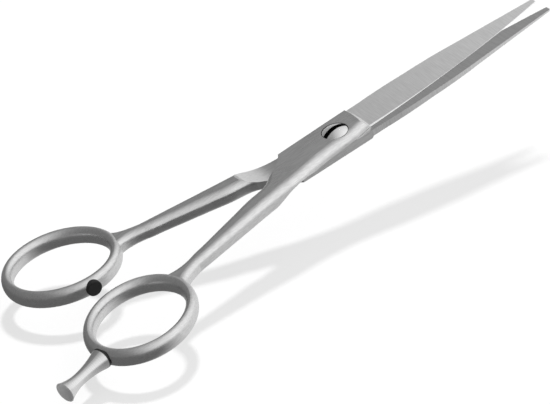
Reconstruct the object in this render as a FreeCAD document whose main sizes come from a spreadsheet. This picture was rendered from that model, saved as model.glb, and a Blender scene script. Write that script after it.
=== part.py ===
import FreeCAD, Part
import math
import os
import Sketcher

# Hair cutting shears, 6.5 inch from blade tip to ring end, for the right hand.
# Each half is one steel forging: blade, ride, shank and finger ring. Both halves come from
# the same die and lie face to face, one turned over about its length. A half is modelled in
# its own frame: pivot hole at the origin, tip on +X, ride face on XY, metal above it.
# The finished shears lie on the XY plane, with the pivot on the Z axis and the tips to +X.

doc = FreeCAD.newDocument("hair_shears")
sheet = doc.addObject("Spreadsheet::Sheet", "dims")

SIZES = {
    # whole shears
    "blade_reach": 72.0,            # pivot to tip
    "opening_angle": 4.37,          # between the halves as they lie
    "ride_gap": 0.04,               # between the two ride faces
    "rest_height": 2.8,             # from the table up to the middle plane of the shears
    # blade
    "tip_width": 1.9,
    "tip_round": 0.3,
    "spine_ride": 5.25,             # spine's distance from the centre line at the ride's corner
    "spine_heel_x": 12.0,           # and just ahead of the heel, where the spine starts to bend
    "spine_heel": 4.85,
    "spine_belly_x": 28.0,
    "spine_belly": 4.5,
    "spine_taper_x": 46.0,
    "spine_taper": 3.3,
    "spine_radius": 190.0,
    "edge_depth": 4.1,              # cutting edge's greatest distance from the centre line
    "edge_deepest_x": 15.3,
    "edge_radius": 480.0,
    "blade_root": 2.0,              # how far the blade's own section runs behind the pivot
    "blade_back": 1.85,             # thickness of the blade at its back, by the heel
    "grind_slope": 0.175,           # fall of the ground face from back to edge
    "grind_taper": 0.0104,          # fall of the ground face towards the tip
    "bevel_angle": 40.0,            # honed bevel against the ride face
    "heel_x": 7.6,                  # where the ground face starts, at the back of the blade
    "heel_offset": 4.2,             # middle of that line
    "heel_radius": 25.0,            # and its curve, seen from above
    # body and shank: sections with a flat top and round shoulders
    # measured at stations along it: middle line, half width, half height, shoulder radius
    "root_x": 11.0, "root_offset": 3.85, "root_half_width": 8.15, "root_half_height": 2.35,
    "root_shoulder": 2.25,
    "pivot_x": 3.0, "pivot_offset": 3.53, "pivot_half_width": 8.48,
    "pivot_half_height": 2.4, "pivot_shoulder": 2.3,
    "ride_x": -4.0, "ride_offset": 3.35, "ride_half_width": 8.65, "ride_half_height": 2.45,
    "ride_shoulder": 2.35,
    "tail_x": -11.0, "tail_offset": 2.3, "tail_half_width": 8.2, "tail_half_height": 2.5,
    "tail_shoulder": 2.35,
    "waist_x": -18.0, "waist_offset": -0.7, "waist_half_width": 6.2,
    "waist_half_height": 2.5, "waist_shoulder": 2.3,
    "neck_x": -25.0, "neck_offset": -4.05, "neck_half_width": 3.5, "neck_half_height": 2.5,
    "neck_shoulder": 2.15,
    "shank_x": -32.0, "shank_offset": -5.15, "shank_half_width": 3.1,
    "shank_half_height": 2.45, "shank_shoulder": 2.05,
    "wrist_x": -56.0, "wrist_offset": -9.4, "wrist_half_width": 1.95,
    "wrist_half_height": 2.1, "wrist_shoulder": 1.7,
    "corner_x": -15.3,              # corner of the ride, at the back
    "scoop_x": -17.5,               # middle of the hollow behind the ride
    "scoop_depth": 0.45,
    "scoop_radius": 22.4,
    "back_radius": 16.0,            # curve of the ride's back edge
    "back_end_x": -27.5,            # where that curve ends, just off the shank's side
    "back_drop": 0.4,
    # rings
    "ring_x": -78.05, "ring_offset": -14.65, "ring_tilt": 20.7,
    "ring_hole_long": 12.84,        # half length of the opening
    "ring_hole_short": 11.0,
    "band_half_width": 1.55,
    "band_half_height": 2.5,
    "throat_shift": -1.8,           # shank's middle from the ring's own long axis
    "throat_lean": 10.5,            # shank's angle to that axis
    "throat_1_ahead": 4.0, "throat_1_half_width": 2.05, "throat_1_half_height": 2.1,
    "throat_1_shoulder": 1.7,
    "throat_2_ahead": 1.4, "throat_2_half_width": 2.5, "throat_2_half_height": 2.12,
    "throat_2_shoulder": 1.75,
    "throat_3_ahead": -1.3, "throat_3_half_width": 3.7, "throat_3_half_height": 2.15,
    "throat_3_shoulder": 1.85,
    # pivot screw and its bush
    "head_radius": 3.45,
    "head_edge": 0.95,              # straight rim of the head
    "head_dome": 1.15,
    "head_recess_clearance": 0.2,
    "recess_floor": 1.0,            # height of the recess floor over the ride face
    "slot_width": 1.5,
    "slot_depth": 1.5,
    "slot_angle": 0.7,
    "shoulder_radius": 2.3,
    "thread_radius": 2.0,
    "thread_pitch": 0.5,
    "thread_start": 0.1,            # below the ride faces
    "thread_depth": 0.27,
    "thread_base": 0.4,             # width of one turn at its root
    "thread_crest": 0.06,           # and of the flat along its top
    "running_clearance": 0.03,
    "bush_wall": 0.45,
    "bush_flange": 0.35,
    # bumper
    "bumper_angle": 69.3,           # place round the ring, from its long axis
    "bumper_radius": 2.1,
    "bumper_depth": 1.3,            # sunk into the ring
    "bumper_height": 0.8,           # stands out of the ring
    "bumper_round": 0.35,
    # finger rest
    "rest_angle": 171.3,            # place round the ring, from its long axis
    "rest_seat_depth": 0.4,
    "rest_seat_margin": 1.6,
    "rest_length": 13.4,
    "rest_foot_radius": 2.8,
    "rest_waist_radius": 1.65,
    "rest_waist_x": 8.0,
    "rest_end_radius": 2.75,
    "rest_dish": 1.5,
    "rest_washer": 0.6,
    "washer_clearance": 0.1,
    "rest_rim": 0.25,               # flat rim round the dish
    "stud_radius": 1.25,
    "stud_length": 2.1,
    "stud_end_gap": 0.2,
}

for row, (word, number) in enumerate(SIZES.items(), start=1):
    sheet.set(f"A{row}", word)
    sheet.set(f"B{row}", str(number))
    sheet.setAlias(f"B{row}", word)
doc.recompute()

X_AXIS = FreeCAD.Vector(1, 0, 0)
Y_AXIS = FreeCAD.Vector(0, 1, 0)
Z_AXIS = FreeCAD.Vector(0, 0, 1)
# stands a flat outline up across the half: its width along Y, its height along Z
ACROSS = FreeCAD.Rotation(FreeCAD.Vector(1, 1, 1), 120)
# stands a flat outline up along the half: its length along X, its height along Z
ALONG = FreeCAD.Rotation(X_AXIS, 90)
CLEAR = "10"                        # how far a cutting shape stands clear of the metal
FAR = "30"                          # the same, where it has the whole width to cross
HONE_SWING = 20.0                   # degrees about its centre that the honed curve is cut over


def bound(formula):
    """The formula with each size pointing at its cell in the sheet."""
    for word in sorted(SIZES, key=len, reverse=True):
        formula = formula.replace(f"<{word}>", f"dims.{word}")
    return formula


def value(formula):
    """The formula's number, from the sheet's sizes."""
    return float(sheet.evalExpression(bound(formula)))


def bind(thing, prop, formula):
    """Ties a property to a formula over the sheet."""
    thing.setExpression(prop, bound(formula))


def place(thing, across, up, over="0", turn=None):
    """Puts a shape at three formulas, with an optional fixed rotation."""
    if turn is not None:
        thing.Placement = FreeCAD.Placement(FreeCAD.Vector(0, 0, 0), turn)
    bind(thing, ".Placement.Base.x", across)
    bind(thing, ".Placement.Base.y", up)
    bind(thing, ".Placement.Base.z", over)
    return thing


def loop(sketch, corners):
    """A closed outline in a sketch: corners of (x, y) formulas, and where a third formula is
    given, an arc of that radius from that corner to the next (negative bends right)."""
    points = [FreeCAD.Vector(value(corner[0]), value(corner[1]), 0) for corner in corners]
    sides = len(corners)
    ends = []
    for side in range(sides):
        start = points[side]
        finish = points[(side + 1) % sides]
        if len(corners[side]) == 3:
            radius = value(corners[side][2])
            chord = finish - start
            half = chord.Length / 2
            left = FreeCAD.Vector(-chord.y, chord.x, 0).normalize()
            drop = math.sqrt(radius * radius - half * half)
            centre = (start + finish) * 0.5 + left * math.copysign(drop, radius)
            crown = centre - left * radius
            geometry = Part.Arc(start, crown, finish)
            turns_left = radius > 0
            sketch.addGeometry(geometry, False)
            ends.append((1, 2) if turns_left else (2, 1))
            sketch.addConstraint(Sketcher.Constraint("Radius", side, abs(radius)))
            bind(sketch, f"Constraints[{sketch.ConstraintCount - 1}]",
                 f"abs({corners[side][2]})")
        else:
            sketch.addGeometry(Part.LineSegment(start, finish), False)
            ends.append((1, 2))
    for side in range(sides):
        after = (side + 1) % sides
        sketch.addConstraint(Sketcher.Constraint(
            "Coincident", side, ends[side][1], after, ends[after][0]))
    for side in range(sides):
        for kind, number, formula in (("DistanceX", points[side].x, corners[side][0]),
                                      ("DistanceY", points[side].y, corners[side][1])):
            sketch.addConstraint(Sketcher.Constraint(
                kind, -1, 1, side, ends[side][0], number))
            bind(sketch, f"Constraints[{sketch.ConstraintCount - 1}]", formula)
    return sketch


def outline(name, corners, turn=None):
    """A free-standing sketch of one closed outline."""
    sketch = doc.addObject("Sketcher::SketchObject", name)
    if turn is not None:
        sketch.Placement = FreeCAD.Placement(FreeCAD.Vector(0, 0, 0), turn)
    return loop(sketch, corners)


def extrude(name, sketch, direction, ahead, behind="0"):
    """A solid prism of a sketch."""
    prism = doc.addObject("Part::Extrusion", name)
    prism.Base = sketch
    prism.DirMode = "Custom"
    prism.Dir = direction
    prism.Solid = True
    bind(prism, "LengthFwd", ahead)
    bind(prism, "LengthRev", behind)
    return prism


def cylinder(name, radius, height):
    """A round bar or drill, standing on its own origin."""
    bar = doc.addObject("Part::Cylinder", name)
    bind(bar, "Radius", radius)
    bind(bar, "Height", height)
    return bar


def fused(name, shapes):
    """Several shapes as one."""
    join = doc.addObject("Part::MultiFuse", name)
    join.Shapes = shapes
    return join


def turned(label, profile, turn=None):
    """A turned piece: a half section in X (radius) and Y (height) spun about its axis."""
    body = doc.addObject("PartDesign::Body", label)
    planes = {plane.Role: plane for plane in body.Origin.OriginFeatures}
    sketch = body.newObject("Sketcher::SketchObject", f"{label}_section")
    sketch.AttachmentSupport = [(planes["XZ_Plane"], "")]
    sketch.MapMode = "FlatFace"
    loop(sketch, profile)
    spin = body.newObject("PartDesign::Revolution", f"{label}_turning")
    spin.Profile = sketch
    spin.ReferenceAxis = (sketch, ["V_Axis"])
    spin.Angle = 360
    body.Label = label
    if turn is not None:
        body.Placement = FreeCAD.Placement(FreeCAD.Vector(0, 0, 0), turn)
    return body


# ---- places round a ring, in a half's own frame ----

OUT_LONG = "(<ring_hole_long> + 2 * <band_half_width>)"
OUT_SHORT = "(<ring_hole_short> + 2 * <band_half_width>)"


def ring_place(angle, sunk):
    """Where the ring's outer side is at an angle from its long axis, less a sunk depth:
    formulas for x and y, and for the direction that its surface faces, in degrees."""
    facing = (f"(<ring_tilt> + atan2(sin({angle}) / {OUT_SHORT}; "
              f"cos({angle}) / {OUT_LONG}) / 1 deg)")
    across = f"{OUT_LONG} * cos({angle})"
    aside = f"{OUT_SHORT} * sin({angle})"
    ring_x = (f"<ring_x> + {across} * cos(<ring_tilt>) - {aside} * sin(<ring_tilt>)"
              f" - ({sunk}) * cos({facing})")
    ring_y = (f"<ring_offset> + {across} * sin(<ring_tilt>) + {aside} * cos(<ring_tilt>)"
              f" - ({sunk}) * sin({facing})")
    return ring_x, ring_y, facing


def facing_out(facing):
    """Rotation that lays a piece's own Z axis along a direction in the XY plane."""
    angle = value(facing)
    direction = FreeCAD.Vector(math.cos(math.radians(angle)), math.sin(math.radians(angle)), 0)
    return FreeCAD.Rotation(Z_AXIS, direction)


# ---- the forging that both halves are made from ----

TAPER_STEPS = 5                     # sections along the straight taper of the shank


def section(name, across, offset, half_width, half_height, shoulder, turn=0.0):
    """One section of the body or the shank: a rectangle with round corners."""
    wide = f"({half_width})"
    high = f"({half_height})"
    bend = f"({shoulder})"
    oval = outline(name, [
        (f"{wide} - {bend}", f"-{high}", shoulder),
        (wide, f"{bend} - {high}"),
        (wide, f"{high} - {bend}", shoulder),
        (f"{wide} - {bend}", high),
        (f"{bend} - {wide}", high, shoulder),
        (f"-{wide}", f"{high} - {bend}"),
        (f"-{wide}", f"{bend} - {high}", shoulder),
        (f"{bend} - {wide}", f"-{high}"),
    ])
    rotation = FreeCAD.Rotation(Z_AXIS, turn).multiply(ACROSS)
    return place(oval, across, offset, "0", rotation)


def throat(name, ahead, half_width, half_height, shoulder):
    """A section of the throat, where the shank widens into the ring."""
    along = f"({OUT_LONG} + {ahead})"
    aside = f"(<throat_shift> - {ahead} * tan(<throat_lean>))"
    return section(
        name,
        f"<ring_x> + {along} * cos(<ring_tilt>) - {aside} * sin(<ring_tilt>)",
        f"<ring_offset> + {along} * sin(<ring_tilt>) + {aside} * cos(<ring_tilt>)",
        half_width, half_height, shoulder, value("<ring_tilt>"))


def shank(half):
    """Body and shank: one smooth bar from the root of the blade to the ring."""
    keys = ["root", "pivot", "ride", "tail", "waist", "neck", "shank"]
    measures = ("x", "offset", "half_width", "half_height", "shoulder")
    stations = []
    for spot, word in enumerate(keys):
        stations.append(section(f"{half}_{word}",
                                *(f"<{word}_{measure}>" for measure in measures)))
        if 0 < spot < len(keys) - 2:
            # halfway to the next station, on the smooth curve through all four round it
            before, after, later = keys[spot - 1], keys[spot + 1], keys[spot + 2]
            stations.append(section(f"{half}_{word}_{after}", *(
                f"(9 * (<{word}_{measure}> + <{after}_{measure}>)"
                f" - <{before}_{measure}> - <{later}_{measure}>) / 16"
                for measure in measures)))
    for step in range(1, TAPER_STEPS + 1):
        stations.append(section(f"{half}_taper_{step}", *(
            f"<shank_{measure}> + (<wrist_{measure}> - <shank_{measure}>)"
            f" * {step} / {TAPER_STEPS}" for measure in measures)))
    bar = doc.addObject("Part::Loft", f"{half}_long_bar")
    bar.Sections = stations
    bar.Solid = True
    widening = doc.addObject("Part::Loft", f"{half}_throat")
    widening.Sections = stations[-1:] + [
        throat(f"{half}_throat_{step}", *(f"<throat_{step}_{measure}>" for measure in (
            "ahead", "half_width", "half_height", "shoulder"))) for step in (1, 2, 3)]
    widening.Solid = True
    return fused(f"{half}_bar", [bar, widening])


def heel(half):
    """Everything ahead of the slope that runs down from the body to the ground face: a block
    less a 45 degree cone, whose curve is the line where that slope starts."""
    front = doc.addObject("Part::Box", f"{half}_front")
    bind(front, "Length", "2 * <heel_radius>")
    bind(front, "Width", "2 * <heel_radius>")
    bind(front, "Height", f"2 * {CLEAR}")
    place(front, "0", "<heel_offset> - <heel_radius>", f"-{CLEAR}")
    cone = doc.addObject("Part::Cone", f"{half}_heel_cone")
    bind(cone, "Radius1", f"<heel_radius> + <pivot_half_height> + {CLEAR}")
    bind(cone, "Radius2", f"<heel_radius> + <pivot_half_height> - {CLEAR}")
    bind(cone, "Height", f"2 * {CLEAR}")
    place(cone, "<heel_x> - <heel_radius>", "<heel_offset>", f"-{CLEAR}")
    ahead = doc.addObject("Part::Cut", f"{half}_ahead")
    ahead.Base = front
    ahead.Tool = cone
    return ahead


def ring(half):
    """The ring: an oval band swept round an oval, as two halves that meet on its long axis."""
    tilt = value("<ring_tilt>")
    stand = FreeCAD.Rotation(Z_AXIS, tilt).multiply(ACROSS.inverted())
    halves = []
    for side, start, end in (("near", 0, "1"), ("far", 180, "-1")):
        path = doc.addObject("Part::Ellipse", f"{half}_ring_{side}_path")
        bind(path, "MajorRadius", "<ring_hole_long> + <band_half_width>")
        bind(path, "MinorRadius", "<ring_hole_short> + <band_half_width>")
        path.Angle1 = start
        path.Angle2 = start + 180
        place(path, "<ring_x>", "<ring_offset>", "0", FreeCAD.Rotation(Z_AXIS, tilt))
        band = doc.addObject("Part::Ellipse", f"{half}_ring_{side}_band")
        bind(band, "MajorRadius", "<band_half_height>")
        bind(band, "MinorRadius", "<band_half_width>")
        reach = f"{end} * (<ring_hole_long> + <band_half_width>)"
        place(band, f"<ring_x> + {reach} * cos(<ring_tilt>)",
              f"<ring_offset> + {reach} * sin(<ring_tilt>)", "0", stand)
        sweep = doc.addObject("Part::Sweep", f"{half}_ring_{side}")
        sweep.Sections = [band]
        sweep.Spine = (path, ["Edge1"])
        sweep.Solid = True
        sweep.Frenet = False
        halves.append(sweep)
    return fused(f"{half}_ring", halves)


def blade(half):
    """Blade: its plan lifted off the ride face, ground flat on the outside, then honed."""
    root = "(-<blade_root>)"
    wide = f"(<edge_depth> + {CLEAR})"
    back_slope = "((<spine_ride> - <spine_heel>) / (<spine_heel_x> - <corner_x>))"
    plan = outline(f"{half}_blade_plan", [
        (root, f"<spine_heel> + {back_slope} * (<spine_heel_x> + <blade_root>)"),
        ("<spine_heel_x>", "<spine_heel>", "-<spine_radius>"),
        ("<spine_belly_x>", "<spine_belly>", "-<spine_radius>"),
        ("<spine_taper_x>", "<spine_taper>"),
        ("<blade_reach> - <tip_round>", "<tip_width> / 2", "-<tip_round>"),
        ("<blade_reach>", "<tip_width> / 2 - <tip_round>"),
        ("<blade_reach>", f"-{wide}"),
        (root, f"-{wide}"),
    ])
    stock = extrude(f"{half}_blade_stock", plan, Z_AXIS, "2 * <blade_back>")

    # everything above the ground face: a slope across the blade, falling to the tip
    start = "(<blade_root> + <heel_x>)"
    above = f"(<blade_back> + {start} * <grind_taper>)"
    over = outline(f"{half}_grind_section", [
        (f"<spine_heel> + {CLEAR}", f"{above} + {CLEAR} * <grind_slope>"),
        (f"<spine_heel> + {CLEAR}", f"{above} + {CLEAR}"),
        (f"-{wide}", f"{above} + {CLEAR}"),
        (f"-{wide}", f"{above} - (<spine_heel> + {wide}) * <grind_slope>"),
    ], ACROSS)
    place(over, root, "0")
    grind = extrude(f"{half}_grind", over, FreeCAD.Vector(1, 0, -value("<grind_taper>")),
                    "<blade_reach> + 2 * <blade_root>")
    bind(grind, "Dir.z", "-<grind_taper>")

    # everything outside the honed bevel: a cone about the centre of the edge's curve
    hone_section = outline(f"{half}_hone_section", [
        ("-<edge_depth> - <blade_back> / tan(<bevel_angle>)", "-<blade_back>"),
        ("-<edge_depth> + 2 * <blade_back> / tan(<bevel_angle>)", "2 * <blade_back>"),
        (f"-{wide}", "2 * <blade_back>"),
        (f"-{wide}", "-<blade_back>"),
    ], ACROSS)
    place(hone_section, "<edge_deepest_x>", "0")
    hone = doc.addObject("Part::Revolution", f"{half}_hone")
    hone.Source = hone_section
    hone.Axis = Z_AXIS
    bind(hone, "Base.x", "<edge_deepest_x>")
    bind(hone, "Base.y", "<edge_radius> - <edge_depth>")
    hone.Angle = HONE_SWING
    hone.Symmetric = True
    hone.Solid = True

    ground = doc.addObject("Part::Cut", f"{half}_blade_ground")
    ground.Base = stock
    ground.Tool = fused(f"{half}_blade_grinding", [grind, hone])
    return ground


def underside(half):
    """Everything below the ride face, with the hollow scooped out behind the ride."""
    # how far down the cutting shape goes: well past the metal's lower side
    low = "(1.6 * <neck_half_height>)"
    crown = "(<scoop_radius> - <scoop_depth>)"
    face = outline(f"{half}_ride_line", [
        (f"<blade_reach> + {CLEAR}", "<ride_gap> / 2"),
        (f"<scoop_x> + sqrt(<scoop_radius> ^ 2 - {crown} ^ 2)", "<ride_gap> / 2",
         "<scoop_radius>"),
        (f"<scoop_x> - sqrt(<scoop_radius> ^ 2 - ({crown} - {low}) ^ 2)",
         f"<ride_gap> / 2 - {low}"),
        (f"<blade_reach> + {CLEAR}", f"<ride_gap> / 2 - {low}"),
    ], ALONG)
    return extrude(f"{half}_underside", face, Y_AXIS, FAR, FAR)


def back(half):
    """Everything beyond the spine of the body and the curved back edge of the ride."""
    plan = outline(f"{half}_back_plan", [
        ("<spine_heel_x>", "<spine_heel>"),
        ("<spine_heel_x>", FAR),
        ("<back_end_x>", FAR),
        ("<back_end_x>", "<neck_offset> + <neck_half_width> - <back_drop>",
         "<back_radius>"),
        ("<corner_x>", "<spine_ride>"),
    ])
    return extrude(f"{half}_back", plan, Z_AXIS, CLEAR, CLEAR)


def forged(half, body_drilled, ring_drilled):
    """One half: body, blade and drilled ring in one, less the body's own drillings."""
    body = doc.addObject("Part::Cut", f"{half}_body")
    body.Base = shank(half)
    body.Tool = fused(f"{half}_trimmings", [back(half), heel(half)])
    eye = doc.addObject("Part::Cut", f"{half}_eye")
    eye.Base = ring(half)
    eye.Tool = ring_drilled
    whole = fused(f"{half}_blank", [blade(half), body, eye])
    piece = doc.addObject("Part::Cut", half)
    piece.Base = whole
    piece.Tool = fused(f"{half}_cuts", [underside(half)] + body_drilled)
    piece.Label = half
    return piece


# ---- finger half: lies on top, drilled for the bush, the screw's head and the finger rest ----

BUSH_RADIUS = "(<shoulder_radius> + <running_clearance> + <bush_wall>)"
RECESS_RADIUS = "(<head_radius> + <head_recess_clearance>)"

bush_hole = cylinder("bush_hole", BUSH_RADIUS, "2 * <recess_floor>")
place(bush_hole, "0", "0", "-<recess_floor>")
head_recess = cylinder("head_recess", RECESS_RADIUS, "2 * <ride_half_height>")
place(head_recess, "0", "0", "<recess_floor>")

seat_x, seat_y, seat_facing = ring_place("<rest_angle>", "<rest_seat_depth>")
rest_seat = cylinder("rest_seat", "<rest_foot_radius> + <rest_seat_margin>",
                     "2 * <band_half_width>")
place(rest_seat, seat_x, seat_y, "0", facing_out(seat_facing))
stud_x, stud_y, _ = ring_place(
    "<rest_angle>", "<rest_seat_depth> + <stud_length> - <rest_washer>")
stud_hole = cylinder("stud_hole", "<stud_radius>", "2 * <stud_length>")
place(stud_hole, stud_x, stud_y, "0", facing_out(seat_facing))

finger_half = forged("finger_half", [bush_hole, head_recess],
                     fused("rest_holes", [rest_seat, stud_hole]))
finger_half.Placement = FreeCAD.Placement(
    FreeCAD.Vector(0, 0, value("<rest_height>")),
    FreeCAD.Rotation(Z_AXIS, value("<opening_angle> / 2")))
bind(finger_half, ".Placement.Base.z", "<rest_height>")

# ---- thumb half: the same forging turned over, tapped for the screw, holed for the bumper ----

screw_hole = cylinder("screw_hole", "<thread_radius> + <running_clearance>",
                      "3 * <ride_half_height>")
place(screw_hole, "0", "0", "-<ride_half_height>")
plug_x, plug_y, plug_facing = ring_place("<bumper_angle>", "<bumper_depth>")
bumper_hole = cylinder("bumper_hole", "<bumper_radius>", "3 * <bumper_depth>")
place(bumper_hole, plug_x, plug_y, "0", facing_out(plug_facing))

thumb_half = forged("thumb_half", [screw_hole], bumper_hole)
turned_over = FreeCAD.Rotation(Z_AXIS, value("-<opening_angle> / 2")).multiply(
    FreeCAD.Rotation(X_AXIS, 180))
thumb_half.Placement = FreeCAD.Placement(
    FreeCAD.Vector(0, 0, value("<rest_height>")), turned_over)
bind(thumb_half, ".Placement.Base.z", "<rest_height>")

# ---- pivot screw: domed head with a coin slot, plain shoulder, threaded end ----

head_base = "(<recess_floor> + <bush_flange>)"
head_rim = f"({head_base} + <head_edge>)"
dome_radius = "((<head_radius> ^ 2 + <head_dome> ^ 2) / (2 * <head_dome>))"
profile = [
    ("0", f"{head_rim} + <head_dome>", f"-{dome_radius}"),
    ("<head_radius>", head_rim),
    ("<head_radius>", head_base),
    ("<shoulder_radius>", head_base),
    ("<shoulder_radius>", "<ride_gap> / 2 + <running_clearance>"),
    ("<thread_radius> - <thread_depth>", "<ride_gap> / 2 + <running_clearance>"),
]
thread_end = "(-<rest_height>)"
turns = math.floor((value("<rest_height>") - value("<thread_start>")) / value("<thread_pitch>"))
for turn in range(turns):
    crest = f"-<thread_start> - ({turn} + 0.5) * <thread_pitch>"
    profile += [
        ("<thread_radius> - <thread_depth>", f"{crest} + <thread_base> / 2"),
        ("<thread_radius>", f"{crest} + <thread_crest> / 2"),
        ("<thread_radius>", f"{crest} - <thread_crest> / 2"),
        ("<thread_radius> - <thread_depth>", f"{crest} - <thread_base> / 2"),
    ]
profile += [
    ("<thread_radius> - <thread_depth>", thread_end),
    ("0", thread_end),
]
screw_blank = turned("pivot_screw_blank", profile)
coin_slot = doc.addObject("Part::Box", "coin_slot")
bind(coin_slot, "Length", "2 * <head_radius> + 2")
bind(coin_slot, "Width", "<slot_width>")
bind(coin_slot, "Height", "2 * <slot_depth>")
coin_slot.Placement.Rotation = FreeCAD.Rotation(Z_AXIS, value("<slot_angle>"))
place(coin_slot,
      "-(<head_radius> + 1) * cos(<slot_angle>) + <slot_width> / 2 * sin(<slot_angle>)",
      "-(<head_radius> + 1) * sin(<slot_angle>) - <slot_width> / 2 * cos(<slot_angle>)",
      f"{head_rim} + <head_dome> - <slot_depth>")
pivot_screw = doc.addObject("Part::Cut", "pivot_screw")
pivot_screw.Base = screw_blank
pivot_screw.Tool = coin_slot
place(pivot_screw, "0", "0", "<rest_height>")

# ---- slide bush: the flanged sleeve that the finger half turns on ----

slide_bush = turned("slide_bush", [
    ("<shoulder_radius> + <running_clearance>", "<ride_gap> / 2"),
    (BUSH_RADIUS, "<ride_gap> / 2"),
    (BUSH_RADIUS, "<recess_floor>"),
    (RECESS_RADIUS, "<recess_floor>"),
    (RECESS_RADIUS, f"{head_base} - <running_clearance>"),
    ("<shoulder_radius> + <running_clearance>", f"{head_base} - <running_clearance>"),
])
place(slide_bush, "0", "0", "<rest_height>")

# ---- bumper: the rubber plug between the rings ----

bumper = turned("bumper", [
    ("0", "0"),
    ("<bumper_radius>", "0"),
    ("<bumper_radius>", "<bumper_depth> + <bumper_height> - <bumper_round>",
     "<bumper_round>"),
    ("<bumper_radius> - <bumper_round>", "<bumper_depth> + <bumper_height>"),
    ("0", "<bumper_depth> + <bumper_height>"),
])


def on_half(piece, half, ring_x, ring_y, facing, sunk="0"):
    """Fixes a piece of a ring, made standing on its own Z axis, where its half lies."""
    spot = FreeCAD.Vector(value(ring_x), value(ring_y), 0)
    seat = FreeCAD.Placement(spot, facing_out(facing))
    lift = FreeCAD.Placement(FreeCAD.Vector(0, 0, value(sunk)), FreeCAD.Rotation())
    piece.Placement = half.Placement.multiply(seat).multiply(lift)
    return piece


on_half(bumper, thumb_half, plug_x, plug_y, plug_facing)

# ---- finger rest: a waisted turned rest with a threaded stud, on its washer ----

rest_washer = turned("rest_washer", [
    ("<stud_radius> + <washer_clearance>", "0"),
    ("<rest_foot_radius>", "0"),
    ("<rest_foot_radius>", "<rest_washer>"),
    ("<stud_radius> + <washer_clearance>", "<rest_washer>"),
])
on_half(rest_washer, finger_half, seat_x, seat_y, seat_facing)

neck_bow = ("(((<rest_waist_x>) ^ 2 + (<rest_foot_radius> - <rest_waist_radius>) ^ 2)"
            " / (2 * (<rest_foot_radius> - <rest_waist_radius>)))")
flare = "(<rest_length> - <rest_waist_x>)"
flare_bow = (f"(({flare} ^ 2 + (<rest_end_radius> - <rest_waist_radius>) ^ 2)"
             " / (2 * (<rest_end_radius> - <rest_waist_radius>)))")
finger_rest = turned("finger_rest", [
    ("0", "<stud_end_gap> - <stud_length>"),
    ("<stud_radius>", "<stud_end_gap> - <stud_length>"),
    ("<stud_radius>", "0"),
    ("<rest_foot_radius>", "0", f"-{neck_bow}"),
    ("<rest_waist_radius>", "<rest_waist_x>", f"-{flare_bow}"),
    ("<rest_end_radius>", "<rest_length>"),
    ("<rest_end_radius> - <rest_rim>", "<rest_length>"),
    ("0", "<rest_length> - <rest_dish>"),
])
on_half(finger_rest, finger_half, seat_x, seat_y, seat_facing, "<rest_washer>")

NODES = [finger_half, thumb_half, pivot_screw, slide_bush, bumper, finger_rest, rest_washer]

doc.recompute()
for thing in doc.Objects:
    if "Invalid" in thing.State or "Error" in thing.State:
        raise RuntimeError(f"{thing.Name} failed: {thing.State}")
os.makedirs("parts", exist_ok=True)
for node in NODES:
    if node.Shape.isNull() or not node.Shape.isValid():
        raise RuntimeError(f"{node.Label} is not a valid solid")
for node in NODES:
    node.Shape.exportStep(f"parts/{node.Label}.step")
    print(node.Label, len(node.Shape.Solids), round(node.Shape.Volume, 2), node.Shape.BoundBox)
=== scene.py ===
import math

import bpy
from mathutils import Matrix, Vector

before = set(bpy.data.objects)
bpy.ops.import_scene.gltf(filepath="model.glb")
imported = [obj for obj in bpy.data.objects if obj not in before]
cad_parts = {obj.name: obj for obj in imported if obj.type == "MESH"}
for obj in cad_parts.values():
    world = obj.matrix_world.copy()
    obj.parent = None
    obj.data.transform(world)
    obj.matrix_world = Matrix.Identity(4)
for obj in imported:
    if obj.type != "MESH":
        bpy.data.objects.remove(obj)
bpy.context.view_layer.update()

# ---------------------------------------------------------------------------
# The two halves. Each is one forging of stainless steel: blade, body, shank and ring.
# The body, shank and ring are finished on a soft belt, to a satin whose fine lines run along
# the piece. The blade is ground flat across its width, which leaves fine lines square to the
# edge, and its ride face is honed, which makes it a shade darker.
# ---------------------------------------------------------------------------


def srgb(hex_colour):
    """An sRGB hex colour as the linear colour that a shader socket takes."""
    channels = [int(hex_colour[i:i + 2], 16) / 255 for i in (1, 3, 5)]
    linear = [c / 12.92 if c <= 0.04045 else ((c + 0.055) / 1.055) ** 2.4 for c in channels]
    return (*linear, 1.0)


def new_material(name):
    """An empty material with its output node, ready for a surface."""
    material = bpy.data.materials.new(name)
    material.use_nodes = True
    material.node_tree.nodes.clear()
    return material


def node(tree, kind, settings=None, **links):
    """Adds a shader node: settings are its properties, or its sockets' values by name or
    number; links are the outputs that feed its inputs (a_b for 'A B', in1 for number 1)."""
    made = tree.nodes.new(kind)
    for name, setting in (settings or {}).items():
        if isinstance(name, str) and hasattr(made, name):
            setattr(made, name, setting)
    for name, setting in (settings or {}).items():
        if isinstance(name, int) or not hasattr(made, name):
            made.inputs[name].default_value = setting
    for name, source in links.items():
        if name.startswith("in") and name[2:].isdigit():
            socket = made.inputs[int(name[2:])]
        else:
            wanted = name.replace("_", " ").lower()
            socket = next(s for s in made.inputs if s.name.lower() == wanted and s.enabled)
        tree.links.new(source, socket)
    return made


BLADE_STARTS = 0.0080               # where the ground face starts, ahead of the pivot
BLADE_ENDS = 0.0720                 # the tips
FINISH_BLEND = 0.0002               # half width of the change from satin to ground
HEEL_REACH = 0.0045                 # how far the slope at the heel runs either way
HOLLOW_MIDDLE = -0.0215             # middle of the hollow's far end, behind the ride
HOLLOW_REACH = 0.006                # and how far it runs either way
# the real lines are some 0.05 mm apart, too fine to see, so they are drawn coarser
GRIND_PITCH = 0.00017               # spacing of the lines square to the edge
BRUSH_PITCH = 0.00030               # spacing of the satin lines along the body
GRIND_SLIMNESS = 0.04               # a ground line is 25 times longer than wide
BRUSH_SLIMNESS = 0.12               # and a satin line about eight times
HAND_PATCHES = 180.0                # patches of uneven hand finishing in a metre

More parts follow.
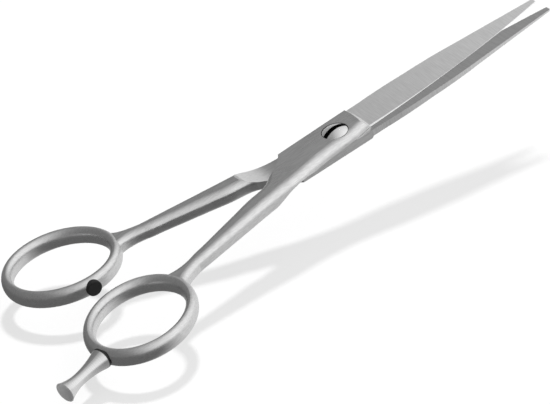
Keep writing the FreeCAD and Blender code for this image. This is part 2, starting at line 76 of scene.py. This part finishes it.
for half in ("finger_half", "thumb_half"):
    steel = new_material(f"ground_and_satin_stainless_{half}")
    tree = steel.node_tree
    place = node(tree, "ShaderNodeTexCoord")
    spot = node(tree, "ShaderNodeSeparateXYZ", in0=place.outputs["Object"])
    facing = node(tree, "ShaderNodeSeparateXYZ", in0=place.outputs["Normal"])

    # satin: short lines along the piece, so the pattern is stretched along X
    along = node(tree, "ShaderNodeMapping", {"Scale": (
        BRUSH_SLIMNESS / BRUSH_PITCH, 1 / BRUSH_PITCH, 1 / BRUSH_PITCH)},
        vector=place.outputs["Object"])
    brush = node(tree, "ShaderNodeTexNoise", {"Scale": 1.0, "Detail": 2.0},
                 vector=along.outputs[0])
    # grinding: the same the other way, lines across the blade
    across = node(tree, "ShaderNodeMapping", {"Scale": (
        1 / GRIND_PITCH, GRIND_SLIMNESS / GRIND_PITCH, GRIND_SLIMNESS / GRIND_PITCH)},
        vector=place.outputs["Object"])
    grind = node(tree, "ShaderNodeTexNoise", {"Scale": 1.0, "Detail": 2.0},
                 vector=across.outputs[0])
    # slow unevenness of hand finishing, in patches five or six millimetres across
    hand = node(tree, "ShaderNodeTexNoise", {"Scale": HAND_PATCHES, "Detail": 3.0},
                vector=place.outputs["Object"])

    # 1 on the blade, 0 on the body
    on_blade = node(tree, "ShaderNodeMapRange", {
        "From Min": BLADE_STARTS - FINISH_BLEND, "From Max": BLADE_STARTS + FINISH_BLEND},
        value=spot.outputs["X"])
    # 0 at the heel, 1 at the tip
    to_tip = node(tree, "ShaderNodeMapRange", {
        "From Min": BLADE_STARTS, "From Max": BLADE_ENDS}, value=spot.outputs["X"])
    # 1 on the flat ride face, which is honed: its normal is square to the plane of the shears
    ride_way = -1.0 if half == "finger_half" else 1.0
    inward = node(tree, "ShaderNodeMath", {"operation": "MULTIPLY", 1: ride_way},
                  in0=facing.outputs["Z"])
    on_ride = node(tree, "ShaderNodeMapRange", {"From Min": 0.992, "From Max": 0.999},
                   value=inward.outputs[0])
    ride_here = node(tree, "ShaderNodeMath", {"operation": "MULTIPLY"},
                     in0=on_ride.outputs[0], in1=on_blade.outputs[0])

    # colour: pale on the ground face, with a painted reflection that makes it paler towards
    # the tip, a shade darker when honed
    face_with_painted_reflection = node(tree, "ShaderNodeMix", {
        "data_type": "RGBA", 6: srgb("#eaeaea"), 7: srgb("#ffffff")},
        in0=to_tip.outputs[0])
    body_or_face = node(tree, "ShaderNodeMix", {
        "data_type": "RGBA", 6: srgb("#e2e2e2")}, in0=on_blade.outputs[0],
        in7=face_with_painted_reflection.outputs[2])
    honed = node(tree, "ShaderNodeMix", {"data_type": "RGBA", 7: srgb("#dcdcdc")},
                 in0=ride_here.outputs[0], in6=body_or_face.outputs[2])
    lines = node(tree, "ShaderNodeMix", {"data_type": "FLOAT"}, in0=on_blade.outputs[0],
                 in2=brush.outputs[0], in3=grind.outputs[0])
    streak = node(tree, "ShaderNodeMapRange", {
        "From Min": 0.25, "From Max": 0.75, "To Min": 0.85, "To Max": 1.06},
        value=lines.outputs[0])
    tint = node(tree, "ShaderNodeVectorMath", {"operation": "SCALE"}, in0=honed.outputs[2],
                scale=streak.outputs[0])

    # 1 on the short slope at the heel, where a highlight is painted: the steel there is made
    # paler
    slope = node(tree, "ShaderNodeMapRange", {"From Min": 0.45, "From Max": 0.6},
                 value=facing.outputs["X"])
    near_heel = node(tree, "ShaderNodeMath", {
        "operation": "COMPARE", 1: BLADE_STARTS, 2: HEEL_REACH}, in0=spot.outputs["X"])
    heel_painted_highlight = node(tree, "ShaderNodeMath", {"operation": "MULTIPLY"}, in0=slope.outputs[0],
                in1=near_heel.outputs[0])
    # 1 on the far end of the hollow behind the ride, where a highlight is painted as well
    rise = node(tree, "ShaderNodeMapRange", {"From Min": 0.08, "From Max": 0.24},
                value=facing.outputs["X"])
    behind = node(tree, "ShaderNodeMath", {
        "operation": "COMPARE", 1: HOLLOW_MIDDLE, 2: HOLLOW_REACH}, in0=spot.outputs["X"])
    turned_in = node(tree, "ShaderNodeMath", {"operation": "GREATER_THAN", 1: 0.85},
                     in0=inward.outputs[0])
    hollow_end_painted_highlight = node(tree, "ShaderNodeMath", {"operation": "MULTIPLY"}, in0=rise.outputs[0],
                   in1=behind.outputs[0])
    painted_highlight = node(tree, "ShaderNodeMath", {"operation": "MULTIPLY_ADD"},
                in0=hollow_end_painted_highlight.outputs[0], in1=turned_in.outputs[0], in2=heel_painted_highlight.outputs[0])
    # where the highlight is painted the steel mirrors less, so it reads paler
    metal = node(tree, "ShaderNodeMapRange", {"To Min": 1.0, "To Max": 0.6},
                 value=painted_highlight.outputs[0])

    # gloss: the satin body varies with the hand's pressure, the ground blade is even
    worn = node(tree, "ShaderNodeMapRange", {
        "From Min": 0.3, "From Max": 0.7, "To Min": 0.25, "To Max": 0.35},
        value=hand.outputs[0])
    rough = node(tree, "ShaderNodeMix", {"data_type": "FLOAT", 3: 0.3},
                 in0=on_blade.outputs[0], in2=worn.outputs[0])
    bump = node(tree, "ShaderNodeBump", {"Strength": 0.12, "Distance": 0.00002},
                height=lines.outputs[0])
    shader = node(tree, "ShaderNodeBsdfPrincipled", base_color=tint.outputs[0],
                  metallic=metal.outputs[0], roughness=rough.outputs[0],
                  normal=bump.outputs[0])
    node(tree, "ShaderNodeOutputMaterial", surface=shader.outputs[0])
    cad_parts[half].data.materials[0] = steel

# ---------------------------------------------------------------------------
# The pivot screw. Its domed head is turned and buffed bright; the coin slot is painted near
# black as the shade in it, so it reads as a black bar across a softened mirror.
# ---------------------------------------------------------------------------

SLOT_HALF_WIDTH = 0.00076
SLOT_TURN = math.radians(0.7)
HEAD_FLOOR = 0.0043                 # all of the slot lies above this height
LATHE_RING = 0.0001                 # spacing of the rings that the lathe left

polished = new_material("buffed_stainless_screw")
tree = polished.node_tree
place = node(tree, "ShaderNodeTexCoord")
turned_place = node(tree, "ShaderNodeMapping", {"Rotation": (0.0, 0.0, -SLOT_TURN)},
                    vector=place.outputs["Object"])
spot = node(tree, "ShaderNodeSeparateXYZ", in0=turned_place.outputs[0])
aside = node(tree, "ShaderNodeMath", {"operation": "ABSOLUTE"}, in0=spot.outputs["Y"])
# the slot's walls and floor are painted near black: painted shade
in_slot = node(tree, "ShaderNodeMath", {"operation": "LESS_THAN", 1: SLOT_HALF_WIDTH},
               in0=aside.outputs[0])
above = node(tree, "ShaderNodeMath", {"operation": "GREATER_THAN", 1: HEAD_FLOOR},
             in0=spot.outputs["Z"])
slot_painted_shade = node(tree, "ShaderNodeMath", {"operation": "MULTIPLY"}, in0=in_slot.outputs[0],
            in1=above.outputs[0])
# fine rings round the middle of the head
radius = node(tree, "ShaderNodeVectorMath", {"operation": "LENGTH"},
              in0=node(tree, "ShaderNodeCombineXYZ", in0=spot.outputs["X"],
                       in1=spot.outputs["Y"]).outputs[0])
rings = node(tree, "ShaderNodeTexNoise", {"noise_dimensions": "1D", "Scale": 1.0,
                                          "Detail": 1.0},
             w=node(tree, "ShaderNodeMath", {"operation": "MULTIPLY", 1: 1 / LATHE_RING},
                    in0=radius.outputs["Value"]).outputs[0])
ring_bump = node(tree, "ShaderNodeBump", {"Strength": 0.06, "Distance": 0.00001},
                 height=rings.outputs[0])
head_tint = node(tree, "ShaderNodeMix", {
    "data_type": "RGBA", 6: srgb("#e8e8e8"), 7: srgb("#0c0c0c")}, in0=slot_painted_shade.outputs[0])
head_rough = node(tree, "ShaderNodeMix", {"data_type": "FLOAT", 2: 0.2, 3: 0.6},
                  in0=slot_painted_shade.outputs[0])
shader = node(tree, "ShaderNodeBsdfPrincipled", {"Metallic": 0.75},
              base_color=head_tint.outputs[2], roughness=head_rough.outputs[0],
              normal=ring_bump.outputs[0])
node(tree, "ShaderNodeOutputMaterial", surface=shader.outputs[0])
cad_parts["pivot_screw"].data.materials[0] = polished

# ---------------------------------------------------------------------------
# The finger rest. A waisted bar turned from stainless rod: its fine lathe rings run round
# it, and the coned dish in its end is left as the drill cut it, duller than the outside.
# ---------------------------------------------------------------------------

REST_HEADING = math.radians(193.07)     # which way the rest points, from +X towards +Y
LATHE_PITCH = 0.00015

lathe = new_material("turned_stainless_rest")
tree = lathe.node_tree
place = node(tree, "ShaderNodeTexCoord")
heading = (math.cos(REST_HEADING), math.sin(REST_HEADING), 0.0)
reach = node(tree, "ShaderNodeVectorMath", {"operation": "DOT_PRODUCT", 1: heading},
             in0=place.outputs["Object"])
lean = node(tree, "ShaderNodeVectorMath", {"operation": "DOT_PRODUCT", 1: heading},
            in0=place.outputs["Normal"])
rings = node(tree, "ShaderNodeTexNoise", {"noise_dimensions": "1D", "Scale": 1.0,
                                          "Detail": 2.0},
             w=node(tree, "ShaderNodeMath", {"operation": "MULTIPLY", 1: 1 / LATHE_PITCH},
                    in0=reach.outputs["Value"]).outputs[0])
ring_bump = node(tree, "ShaderNodeBump", {"Strength": 0.1, "Distance": 0.00002},
                 height=rings.outputs[0])
# the dish is the only part that faces out along the rest
dished = node(tree, "ShaderNodeMapRange", {"From Min": 0.55, "From Max": 0.75},
              value=lean.outputs["Value"])
rest_tint = node(tree, "ShaderNodeMix", {
    "data_type": "RGBA", 6: srgb("#e4e4e4"), 7: srgb("#c8c8c8")}, in0=dished.outputs[0])
rest_streak = node(tree, "ShaderNodeMapRange", {
    "From Min": 0.25, "From Max": 0.75, "To Min": 0.9, "To Max": 1.05},
    value=rings.outputs[0])
rest_colour = node(tree, "ShaderNodeVectorMath", {"operation": "SCALE"},
                   in0=rest_tint.outputs[2], scale=rest_streak.outputs[0])
# the drill's raw finish in the dish scatters the light
rest_metal = node(tree, "ShaderNodeMapRange", {"To Min": 1.0, "To Max": 0.3},
                  value=dished.outputs[0])
shader = node(tree, "ShaderNodeBsdfPrincipled", {"Roughness": 0.27},
              base_color=rest_colour.outputs[0], metallic=rest_metal.outputs[0],
              normal=ring_bump.outputs[0])
node(tree, "ShaderNodeOutputMaterial", surface=shader.outputs[0])
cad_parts["finger_rest"].data.materials[0] = lathe

# ---------------------------------------------------------------------------
# The bumper. A plug of soft black rubber pressed into the thumb ring: it drinks the light,
# with a faint dusty grain and no clear highlight.
# ---------------------------------------------------------------------------

RUBBER_GRAIN = 0.0003

rubber = new_material("matte_black_rubber")
tree = rubber.node_tree
place = node(tree, "ShaderNodeTexCoord")
grain = node(tree, "ShaderNodeTexNoise", {"Scale": 1 / RUBBER_GRAIN, "Detail": 3.0},
             vector=place.outputs["Object"])
dust = node(tree, "ShaderNodeMix", {
    "data_type": "RGBA", 6: srgb("#161616"), 7: srgb("#2a2a2a")}, in0=grain.outputs[0])
pores = node(tree, "ShaderNodeBump", {"Strength": 0.4, "Distance": 0.00003},
             height=grain.outputs[0])
shader = node(tree, "ShaderNodeBsdfPrincipled", {"Roughness": 0.7,
                                                 "Specular IOR Level": 0.3},
              base_color=dust.outputs[2], normal=pores.outputs[0])
node(tree, "ShaderNodeOutputMaterial", surface=shader.outputs[0])
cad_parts["bumper"].data.materials[0] = rubber

# ---------------------------------------------------------------------------
# The slide bush and the rest's washer. Both are moulded from black nylon, which has a low
# waxy sheen. The bush shows only as the black line round the screw's head.
# ---------------------------------------------------------------------------

NYLON_GRAIN = 0.0006

nylon = new_material("moulded_black_nylon")
tree = nylon.node_tree
place = node(tree, "ShaderNodeTexCoord")
grain = node(tree, "ShaderNodeTexNoise", {"Scale": 1 / NYLON_GRAIN, "Detail": 2.0},
             vector=place.outputs["Object"])
sheen = node(tree, "ShaderNodeMapRange", {"To Min": 0.38, "To Max": 0.55},
             value=grain.outputs[0])
shade = node(tree, "ShaderNodeMix", {
    "data_type": "RGBA", 6: srgb("#121212"), 7: srgb("#1e1e1e")}, in0=grain.outputs[0])
shader = node(tree, "ShaderNodeBsdfPrincipled", {"Specular IOR Level": 0.4},
              base_color=shade.outputs[2], roughness=sheen.outputs[0])
node(tree, "ShaderNodeOutputMaterial", surface=shader.outputs[0])
for piece in ("slide_bush", "rest_washer"):
    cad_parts[piece].data.materials[0] = nylon

# ---------------------------------------------------------------------------
# The room: a plain pale floor under a soft studio light. The ceiling is bright to the right
# and dim to the left and far side, which is what bends light and dark along the steel.
# ---------------------------------------------------------------------------

FLOOR_REACH = 0.6                       # half of the floor's length and width
FLOOR_START = -0.125                    # its near edge, just behind the finger rest
FLOOR_DROP = 0.020                      # how far the floor lies under the pivot
FLOOR_FALL = math.radians(9.0)          # the floor falls away towards the tips
FLOOR_MIDDLE = FLOOR_START + FLOOR_REACH * math.cos(FLOOR_FALL)
FLOOR_GLOW = 0.62
UNDERSIDE_GLOW = 1.0

bpy.ops.object.select_all(action="DESELECT")
bpy.ops.mesh.primitive_plane_add(
    size=2 * FLOOR_REACH, rotation=(0, FLOOR_FALL, 0),
    location=(FLOOR_MIDDLE, 0, -FLOOR_DROP - FLOOR_MIDDLE * math.tan(FLOOR_FALL)))
floor = bpy.context.active_object
floor.name = "floor"
floor_paint = new_material("white_floor")
tree = floor_paint.node_tree
# lit from inside like a light table, so shadows on it stay faint; its lower side glows more,
# because no lamp reaches it
side = node(tree, "ShaderNodeNewGeometry")
inner_light = node(tree, "ShaderNodeMapRange", {
    "To Min": FLOOR_GLOW, "To Max": UNDERSIDE_GLOW}, value=side.outputs["Backfacing"])
shader = node(tree, "ShaderNodeBsdfPrincipled", {
    "Base Color": srgb("#9a9a9a"), "Roughness": 0.9, "Specular IOR Level": 0.1,
    "Emission Color": srgb("#ffffff")}, emission_strength=inner_light.outputs[0])
node(tree, "ShaderNodeOutputMaterial", surface=shader.outputs[0])
floor.data.materials.append(floor_paint)
floor.visible_glossy = False

world = bpy.data.worlds.new("studio")
bpy.context.scene.world = world
world.use_nodes = True
tree = world.node_tree
tree.nodes.clear()
sky = node(tree, "ShaderNodeTexCoord")
# above the horizon the steel sees the ceiling
bright_side = Vector((0.75, -0.60, 0.25)).normalized()
toward = node(tree, "ShaderNodeVectorMath", {"operation": "DOT_PRODUCT", 1: bright_side},
              in0=sky.outputs["Generated"])
across_sky = node(tree, "ShaderNodeMapRange", {"From Min": -1.0, "From Max": 1.0},
                  value=toward.outputs["Value"])
ceiling = node(tree, "ShaderNodeValToRGB", in0=across_sky.outputs[0])
# below it the steel sees the table, paler towards the tips
table_side = Vector((1.0, 0.15, 0.0)).normalized()
below = node(tree, "ShaderNodeVectorMath", {"operation": "DOT_PRODUCT", 1: table_side},
             in0=sky.outputs["Generated"])
table = node(tree, "ShaderNodeValToRGB", in0=below.outputs["Value"])
for ramp, stops in (
        (ceiling, ((0.0, 0.20), (0.35, 0.22), (0.50, 0.26), (0.60, 0.50), (0.66, 0.56),
                   (0.75, 0.72), (0.88, 1.0), (1.0, 1.10))),
        (table, ((0.0, 0.15), (0.04, 0.17), (0.15, 0.27), (0.30, 0.44), (0.45, 0.64),
                 (0.62, 0.80), (1.0, 0.84)))):
    elements = ramp.color_ramp.elements
    while len(elements) < len(stops):
        elements.new(0.5)
    for element, (where, grey) in zip(elements, stops):
        element.position = where
        element.color = (grey, grey, grey, 1)
height = node(tree, "ShaderNodeSeparateXYZ", in0=sky.outputs["Generated"])
horizon = node(tree, "ShaderNodeMapRange", {"From Min": -0.15, "From Max": 0.10},
               value=height.outputs["Z"])
sky_grey = node(tree, "ShaderNodeMix", {"data_type": "RGBA"}, in0=horizon.outputs[0],
                in6=table.outputs[0], in7=ceiling.outputs[0])
glow = node(tree, "ShaderNodeBackground", color=sky_grey.outputs[2])
# past the floor's edges the eye sees a backdrop as white as the floor
backdrop = node(tree, "ShaderNodeBackground", {"Color": srgb("#ffffff"), "Strength": 1.0})
seen = node(tree, "ShaderNodeLightPath")
surround = node(tree, "ShaderNodeMixShader", in0=seen.outputs["Is Camera Ray"],
                in1=glow.outputs[0], in2=backdrop.outputs[0])
node(tree, "ShaderNodeOutputWorld", in0=surround.outputs[0])

KEY_POWER = 2.6
KEY_SPREAD = math.radians(7)
KEY_FROM = Vector((0.506, 0.354, 0.787))

key_data = bpy.data.lights.new("key", "SUN")
key_data.energy = KEY_POWER
key_data.angle = KEY_SPREAD
key = bpy.data.objects.new("key", key_data)
bpy.context.scene.collection.objects.link(key)
key.rotation_euler = KEY_FROM.to_track_quat("Z", "Y").to_euler()
key.visible_glossy = False

# ---------------------------------------------------------------------------
# The camera: a long lens, looking down along the shears from the finger ring's side.
# ---------------------------------------------------------------------------

LENS_LENGTH = 212.84                    # millimetres, on a sensor 36 mm wide

eye = Vector((-0.350978, -0.601693, 0.478115))
right = Vector((0.76859, -0.59907, -0.22449))
up = Vector((0.50568, 0.35394, 0.78677))
lens_data = bpy.data.cameras.new("camera")
lens_data.lens = LENS_LENGTH
lens_data.sensor_width = 36.0
lens_data.clip_start = 0.01
camera = bpy.data.objects.new("camera", lens_data)
bpy.context.scene.collection.objects.link(camera)
right.normalize()
up = (up - right * up.dot(right)).normalized()
away = right.cross(up)
camera.matrix_world = Matrix((
    (right.x, up.x, away.x, eye.x),
    (right.y, up.y, away.y, eye.y),
    (right.z, up.z, away.z, eye.z),
    (0, 0, 0, 1)))
bpy.context.scene.camera = camera
bpy.context.scene.view_settings.view_transform = "Standard"
